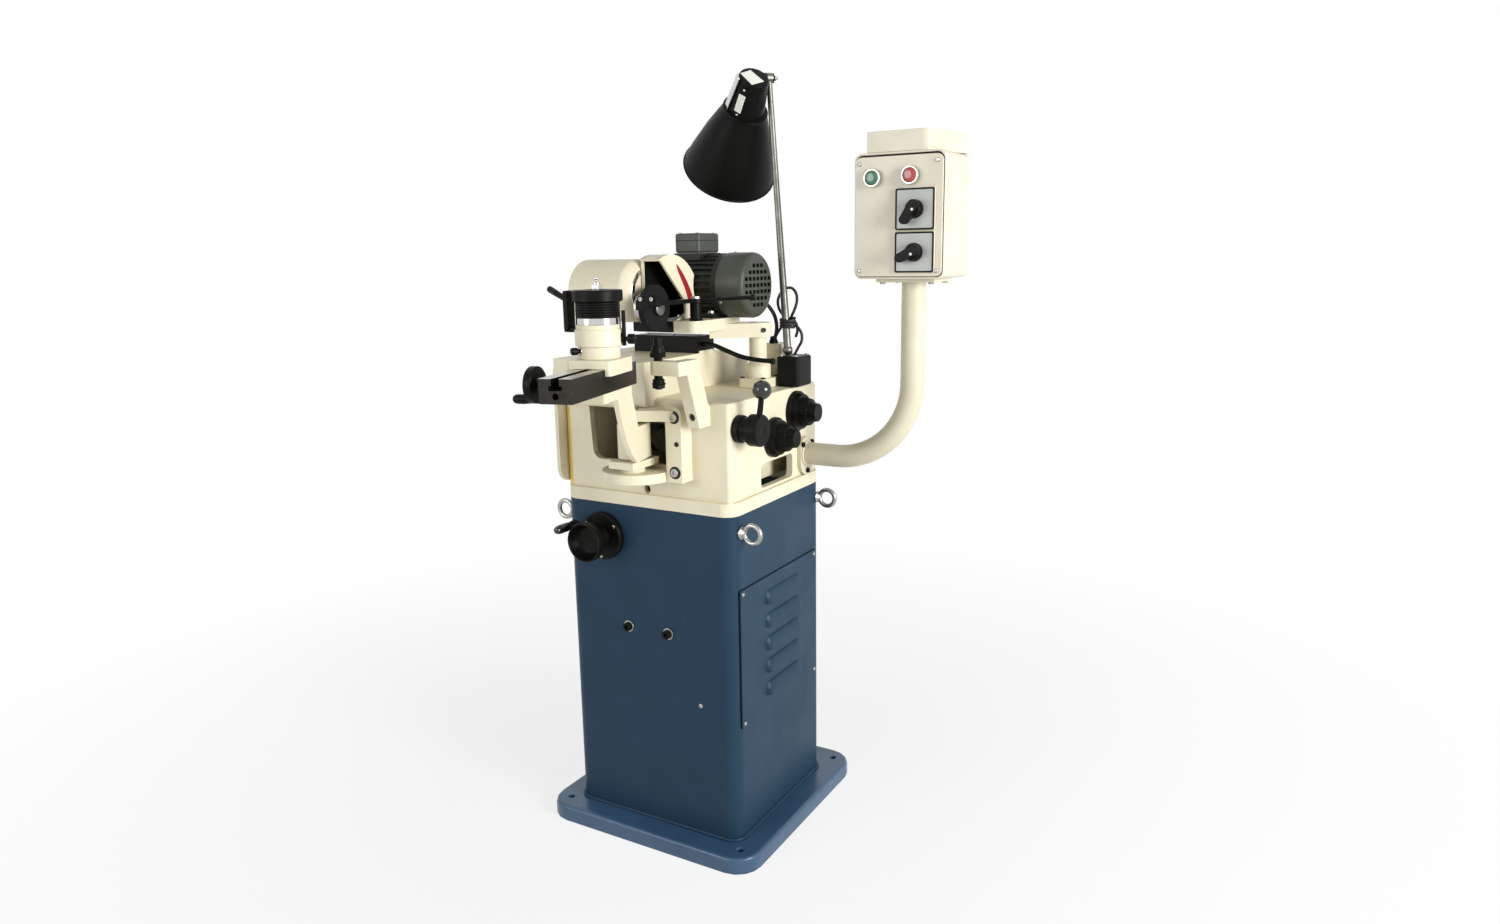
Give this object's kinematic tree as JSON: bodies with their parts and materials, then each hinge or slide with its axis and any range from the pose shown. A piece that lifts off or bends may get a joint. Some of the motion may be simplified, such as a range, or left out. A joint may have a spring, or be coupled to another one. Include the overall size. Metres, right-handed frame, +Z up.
{
  "type": "saw blade sharpening machine",
  "caption": "Floor-standing automatic grinder for circular saw blades: cabinet, cast body, swinging blade table, belt-driven grinding head, knobs, control box on a bent tube and lamp.",
  "frame": {"origin": "on the floor under the base plate, on the cabinet's vertical axis", "axes": "+Z up, -Y the front with the handwheel and the table, +X the side with the knobs and the control box"},
  "size_m": [0.79, 0.8248, 1.5905],
  "materials": {
    "cabinet_paint": "dark blue enamel",
    "cream_paint": "cream machine paint on cast iron",
    "steel": "bright steel",
    "dark_steel": "blackened steel, ground where it slides",
    "black_paint": "black satin paint",
    "black_plastic": "moulded black plastic",
    "tube_paint": "cream paint on bent pipe",
    "box_paint": "cream stove enamel on sheet steel",
    "motor_paint": "grey-green motor paint",
    "shade_paint": "black enamel on spun sheet",
    "rubber": "matt black rubber",
    "abrasive": "bonded abrasive, dark grey",
    "green_plastic": "clear green push button",
    "red_plastic": "red push button"
  },
  "bodies": {
    "machine": {"base_plate": "cabinet_paint", "cabinet_shell": "cabinet_paint", "louvre_panel": "cabinet_paint", "lift_eye_right_front": "steel", "lift_eye_right_rear": "steel", "lift_eye_left_front": "steel", "lift_eye_left_rear": "steel", "body_casting": "cream_paint", "left_cover": "cream_paint", "hinge_bracket": "cream_paint", "hinge_pin": "steel", "support_bracket": "cream_paint", "column": "cream_paint", "box_tube": "tube_paint", "control_box": "box_paint", "control_box_door": "box_paint", "box_hood": "box_paint", "lamp_base": "black_paint", "handwheel_flange": "black_paint", "feed_motor": "motor_paint", "feed_belt": "rubber", "lamp_lead": "rubber", "motor_lead": "rubber"},
    "table": {"swing_arm": "cream_paint", "rail": "dark_steel"},
    "carriage": {"carriage": "cream_paint", "arbor_housing": "cream_paint"},
    "arbor": {"arbor_spindle": "dark_steel", "clamp_flange": "black_paint", "clamp_nut": "steel"},
    "rail_wheel": {"rail_handwheel": "black_plastic"},
    "rail_grip": {"rail_handwheel_grip": "black_plastic"},
    "head": {"head_arm": "cream_paint", "head_housing": "cream_paint", "wheel_guard": "cream_paint", "motor_body": "motor_paint", "terminal_box": "motor_paint", "fan_cover": "motor_paint", "head_belt": "rubber", "dresser_bracket": "black_paint"},
    "wheel_spindle": {"spindle": "steel", "grinding_wheel": "abrasive"},
    "motor_rotor": {"motor_shaft": "steel"},
    "dresser": {"dresser_lever": "black_paint"},
    "feed_slide": {"way_cover": "black_paint", "pawl_rod": "black_paint"},
    "blade_rest": {"blade_rest_screw": "black_paint"},
    "lever": {"ball_lever": "black_plastic"},
    "feed_dial": {"feed_knob": "black_plastic"},
    "depth_dial": {"depth_knob": "black_plastic"},
    "front_wheel": {"front_handwheel": "black_plastic"},
    "front_grip": {"front_handwheel_grip": "black_plastic"},
    "start": {"start_button": "green_plastic"},
    "stop": {"stop_button": "red_plastic"},
    "upper_cam": {"upper_switch": "black_plastic"},
    "lower_cam": {"lower_switch": "black_plastic"},
    "lamp_post": {"lamp_pole": "steel"},
    "shade": {"lamp_shade": "shade_paint"},
    "feed_rotor": {"feed_pulley": "steel"},
    "cams": {"camshaft": "steel"}
  },
  "joints": [
    {"name": "table_swing", "type": "hinge", "parent": "machine", "child": "table", "pos_m": [0.009, -0.238, 0.87], "axis": [0, 0, 1], "range_deg": [-30, 12]},
    {"name": "carriage_travel", "type": "slide", "parent": "table", "child": "carriage", "axis": [0.2526, -0.9676, 0], "range_m": [-0.045, 0.048]},
    {"name": "arbor_turn", "type": "hinge", "parent": "carriage", "child": "arbor", "pos_m": [0.04335, -0.36959, 1.1], "axis": [0, 0, 1], "continuous": true},
    {"name": "rail_wheel_turn", "type": "hinge", "parent": "table", "child": "rail_wheel", "pos_m": [0.0729, -0.4828, 1.011], "axis": [0.9676, 0.2526, 0], "range_deg": [-370, 400]},
    {"name": "rail_grip_turn", "type": "hinge", "parent": "rail_wheel", "child": "rail_grip", "pos_m": [0.0729, -0.4828, 0.986], "axis": [0.9676, 0.2526, 0], "continuous": true},
    {"name": "head_swing", "type": "hinge", "parent": "machine", "child": "head", "pos_m": [0.128, 0.055, 1.06], "axis": [0, 0, 1], "range_deg": [-6, 6]},
    {"name": "wheel_turn", "type": "hinge", "parent": "head", "child": "wheel_spindle", "pos_m": [0.02, -0.165, 1.123], "axis": [1, 0, 0], "continuous": true},
    {"name": "motor_turn", "type": "hinge", "parent": "head", "child": "motor_rotor", "pos_m": [0.02, 0.02, 1.161], "axis": [1, 0, 0], "continuous": true},
    {"name": "dresser_swing", "type": "hinge", "parent": "head", "child": "dresser", "pos_m": [0.072, -0.095, 1.13], "axis": [0, 0, 1], "range_deg": [0, 25]},
    {"name": "feed_stroke", "type": "slide", "parent": "machine", "child": "feed_slide", "axis": [1, 0, 0], "range_m": [-0.012, 0.012]},
    {"name": "blade_rest_height", "type": "slide", "parent": "machine", "child": "blade_rest", "axis": [0, 0, 1], "range_m": [-0.006, 0.006]},
    {"name": "lever_turn", "type": "hinge", "parent": "machine", "child": "lever", "pos_m": [0.2, -0.155, 0.895], "axis": [1, 0, 0], "range_deg": [-35, 35]},
    {"name": "feed_dial_turn", "type": "hinge", "parent": "machine", "child": "feed_dial", "pos_m": [0.2, -0.014, 0.856], "axis": [1, 0, 0], "range_deg": [-150, 150]},
    {"name": "depth_dial_turn", "type": "hinge", "parent": "machine", "child": "depth_dial", "pos_m": [0.2, 0.084, 0.896], "axis": [1, 0, 0], "range_deg": [-150, 150]},
    {"name": "front_wheel_turn", "type": "hinge", "parent": "machine", "child": "front_wheel", "pos_m": [-0.105, -0.2, 0.655], "axis": [0, -1, 0], "range_deg": [-720, 720]},
    {"name": "front_grip_turn", "type": "hinge", "parent": "front_wheel", "child": "front_grip", "pos_m": [-0.165, -0.25, 0.676], "axis": [0, -1, 0], "continuous": true},
    {"name": "start_press", "type": "slide", "parent": "machine", "child": "start", "axis": [0, 1, 0], "range_m": [0, 0.004], "stiffness_N_per_m": 400, "springref_m": -0.002},
    {"name": "stop_press", "type": "slide", "parent": "machine", "child": "stop", "axis": [0, 1, 0], "range_m": [0, 0.004], "stiffness_N_per_m": 400, "springref_m": -0.002},
    {"name": "upper_cam_turn", "type": "hinge", "parent": "machine", "child": "upper_cam", "pos_m": [0.476, 0.03, 1.3015], "axis": [0, -1, 0], "range_deg": [-90, 0]},
    {"name": "lower_cam_turn", "type": "hinge", "parent": "machine", "child": "lower_cam", "pos_m": [0.476, 0.03, 1.222], "axis": [0, -1, 0], "range_deg": [-90, 0]},
    {"name": "lamp_post_tilt", "type": "hinge", "parent": "machine", "child": "lamp_post", "pos_m": [0.177, 0.096, 1.023], "axis": [0, 1, 0], "range_deg": [-6, 6]},
    {"name": "shade_tilt", "type": "hinge", "parent": "lamp_post", "child": "shade", "pos_m": [0.133, 0.093, 1.572], "axis": [0.6575, 0.7534, 0], "range_deg": [-5, 35]},
    {"name": "feed_motor_turn", "type": "hinge", "parent": "machine", "child": "feed_rotor", "pos_m": [-0.1, 0.01, 0.372], "axis": [1, 0, 0], "continuous": true},
    {"name": "camshaft_turn", "type": "hinge", "parent": "machine", "child": "cams", "pos_m": [0, 0.01, 0.862], "axis": [1, 0, 0], "continuous": true}
  ],
  "couplings": [
    {"joint": "rail_wheel_turn", "follows": "carriage_travel", "rad_per_m": 142.86},
    {"joint": "wheel_turn", "follows": "motor_turn", "ratio": 1.5556},
    {"joint": "camshaft_turn", "follows": "feed_motor_turn", "ratio": 0.5}
  ]
}
